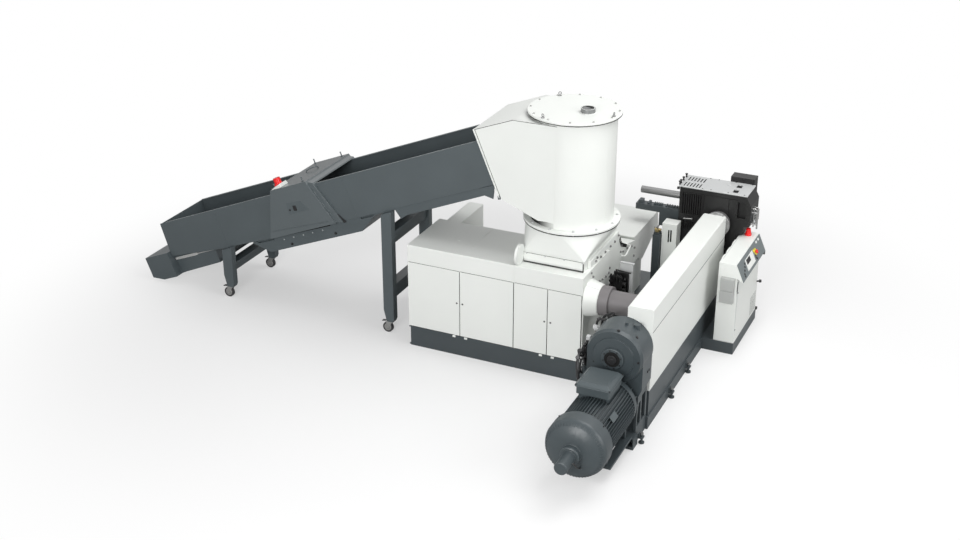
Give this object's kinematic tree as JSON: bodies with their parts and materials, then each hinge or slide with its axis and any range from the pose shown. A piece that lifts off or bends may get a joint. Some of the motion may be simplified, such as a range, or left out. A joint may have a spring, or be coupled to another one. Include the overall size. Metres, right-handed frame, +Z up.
{
  "type": "plastic pelletizing machine",
  "caption": "Plastic recycling pelletizer: inclined belt conveyor with metal detector, feed drum, screw extruder with motor, pelletizer and control panel.",
  "frame": {"origin": "point on the floor under the drum's vertical axis, on the underside of the cabinet's base frame", "axes": "+X along the cabinet front from the conveyor's end to the extruder, +Y from the cabinet's doors to the rear, +Z up"},
  "size_m": [7.2121, 4.992, 2.9],
  "materials": {
    "white_paint": "satin powder coat, slightly warm white",
    "dark_paint": "dark blue grey satin paint",
    "drive_paint": "blue grey machine paint",
    "light_grey_paint": "light grey paint",
    "black_paint": "black textured paint",
    "steel": "brushed steel",
    "belt_rubber": "dull black conveyor belt",
    "caster_rubber": "grey black caster tyre",
    "zinc": "zinc plated sheet",
    "red_plastic": "red signal plastic",
    "grey_plastic": "grey plastic",
    "guard_glass": "clear guard"
  },
  "bodies": {
    "machine": {"base_frame": "dark_paint", "cabinet_shell": "white_paint", "rear_duct": "white_paint", "hopper_base": "white_paint", "side_plate": "white_paint", "rear_housing": "white_paint", "rear_box": "white_paint", "drum_flange": "white_paint", "drum_shell": "white_paint", "chute": "white_paint", "lid": "white_paint", "trough_near_wall": "dark_paint", "trough_far_wall": "dark_paint", "belt_bed": "steel", "conveyor_belt": "belt_rubber", "tail_box": "dark_paint", "tensioner_1": "zinc", "tensioner_2": "zinc", "detector_hood": "dark_paint", "detector_beacon": "red_plastic", "under_pan": "dark_paint", "short_leg_frame": "dark_paint", "tall_leg_frame": "dark_paint", "intake_cone": "white_paint", "intake_pipe": "steel", "valve_block": "black_paint", "extruder_frame": "dark_paint", "barrel_cover": "white_paint", "gearbox": "drive_paint", "gearbox_hub": "drive_paint", "lube_unit": "drive_paint", "motor": "drive_paint", "fan_cowl": "drive_paint", "terminal_box": "drive_paint", "pelletizer_body": "black_paint", "pelletizer_top": "light_grey_paint", "melt_flange": "steel", "side_guard": "guard_glass", "side_handle": "steel", "rear_pipe": "steel", "rear_beam": "dark_paint", "filter_cabinet": "white_paint", "panel_body": "white_paint", "panel_desk": "light_grey_paint", "panel_beacon": "red_plastic", "socket_box": "grey_plastic"},
    "door_1": {"door_1": "white_paint"},
    "door_2": {"door_2": "white_paint"},
    "door_3": {"door_3": "white_paint"},
    "door_4": {"door_4": "white_paint"},
    "caster_fork_1": {"caster_fork_1": "zinc"},
    "caster_wheel_1": {"caster_wheel_1": "caster_rubber"},
    "caster_fork_2": {"caster_fork_2": "zinc"},
    "caster_wheel_2": {"caster_wheel_2": "caster_rubber"},
    "caster_fork_3": {"caster_fork_3": "zinc"},
    "caster_wheel_3": {"caster_wheel_3": "caster_rubber"},
    "caster_fork_4": {"caster_fork_4": "zinc"},
    "caster_wheel_4": {"caster_wheel_4": "caster_rubber"}
  },
  "joints": [
    {"name": "door_1_hinge", "type": "hinge", "parent": "machine", "child": "door_1", "pos_m": [-1.667, -0.638, 0.646], "axis": [0, 0, -1], "range_deg": [0, 110]},
    {"name": "door_2_hinge", "type": "hinge", "parent": "machine", "child": "door_2", "pos_m": [-0.4075, -0.638, 0.646], "axis": [0, 0, 1], "range_deg": [0, 90]},
    {"name": "door_3_hinge", "type": "hinge", "parent": "machine", "child": "door_3", "pos_m": [-0.3845, -0.638, 0.646], "axis": [0, 0, -1], "range_deg": [0, 90]},
    {"name": "door_4_hinge", "type": "hinge", "parent": "machine", "child": "door_4", "pos_m": [0.375, -0.638, 0.646], "axis": [0, 0, 1], "range_deg": [0, 90]},
    {"name": "caster_1_swivel", "type": "hinge", "parent": "machine", "child": "caster_fork_1", "pos_m": [-4.20003, -0.458, 0.15], "axis": [0, 0, 1], "continuous": true},
    {"name": "caster_1_roll", "type": "hinge", "parent": "caster_fork_1", "child": "caster_wheel_1", "pos_m": [-4.23403, -0.458, 0.0625], "axis": [0, 1, 0], "continuous": true},
    {"name": "caster_2_swivel", "type": "hinge", "parent": "machine", "child": "caster_fork_2", "pos_m": [-4.20003, 0.458, 0.15], "axis": [0, 0, 1], "continuous": true},
    {"name": "caster_2_roll", "type": "hinge", "parent": "caster_fork_2", "child": "caster_wheel_2", "pos_m": [-4.23403, 0.458, 0.0625], "axis": [0, 1, 0], "continuous": true},
    {"name": "caster_3_swivel", "type": "hinge", "parent": "machine", "child": "caster_fork_3", "pos_m": [-2.012, -0.458, 0.15], "axis": [0, 0, 1], "continuous": true},
    {"name": "caster_3_roll", "type": "hinge", "parent": "caster_fork_3", "child": "caster_wheel_3", "pos_m": [-2.046, -0.458, 0.0625], "axis": [0, 1, 0], "continuous": true},
    {"name": "caster_4_swivel", "type": "hinge", "parent": "machine", "child": "caster_fork_4", "pos_m": [-2.012, 0.458, 0.15], "axis": [0, 0, 1], "continuous": true},
    {"name": "caster_4_roll", "type": "hinge", "parent": "caster_fork_4", "child": "caster_wheel_4", "pos_m": [-2.046, 0.458, 0.0625], "axis": [0, 1, 0], "continuous": true}
  ]
}
